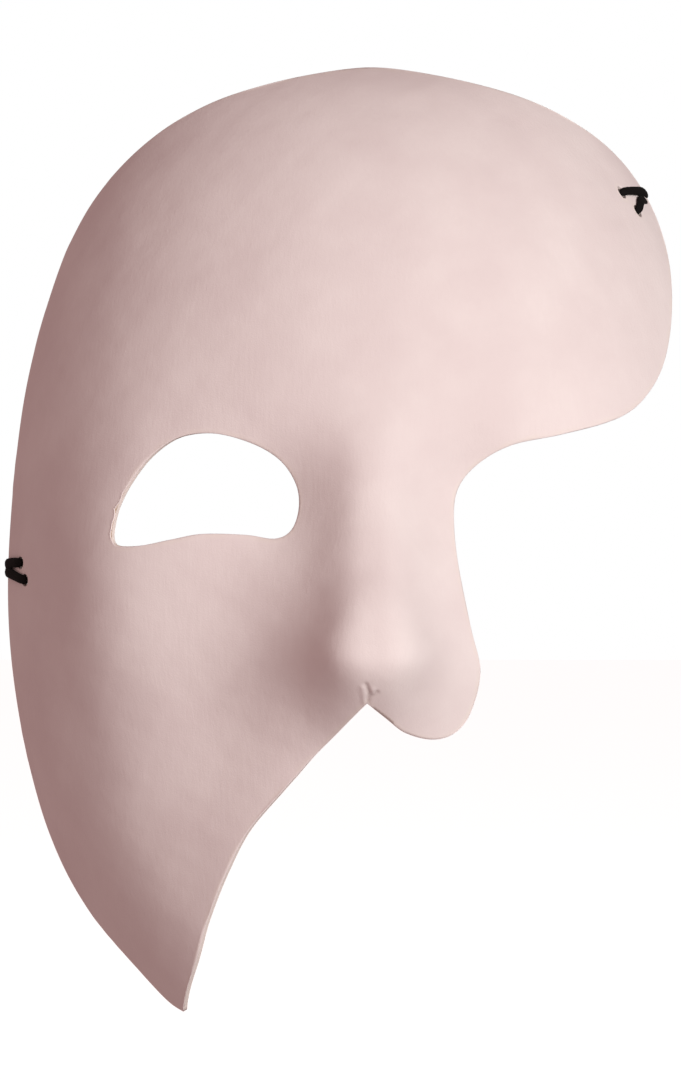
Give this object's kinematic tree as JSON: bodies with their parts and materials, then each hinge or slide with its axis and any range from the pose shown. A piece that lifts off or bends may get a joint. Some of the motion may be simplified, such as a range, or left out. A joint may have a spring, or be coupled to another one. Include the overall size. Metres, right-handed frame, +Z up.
{
  "type": "half face masquerade mask",
  "caption": "Plain white half face mask of layered paper with forehead, nose, one eye opening and one cheek, tied on with round cord.",
  "frame": {"origin": "the inside of the shell where it sits on the bridge of the wearer's nose", "axes": "+Z up, +Y back into the mask towards the wearer, +X to the wearer's left"},
  "size_m": [0.1686, 0.0908, 0.2349],
  "materials": {
    "gesso": "matte, finely brushed",
    "layered_paper": "matte, torn strips",
    "black_cord": "braided",
    "band": "matte"
  },
  "bodies": {
    "root": {"gesso_coat": "gesso", "paper_shell": "layered_paper", "cheek_tie_loop": "black_cord", "cheek_tie_knot": "black_cord", "cheek_tie_drop": "black_cord", "cheek_tie_coil": "black_cord", "cheek_tie_coil_band": "band", "temple_tie_loop": "black_cord", "temple_tie_knot": "black_cord", "temple_tie_drop": "black_cord", "temple_tie_coil": "black_cord", "temple_tie_coil_band": "band"}
  },
  "joints": []
}
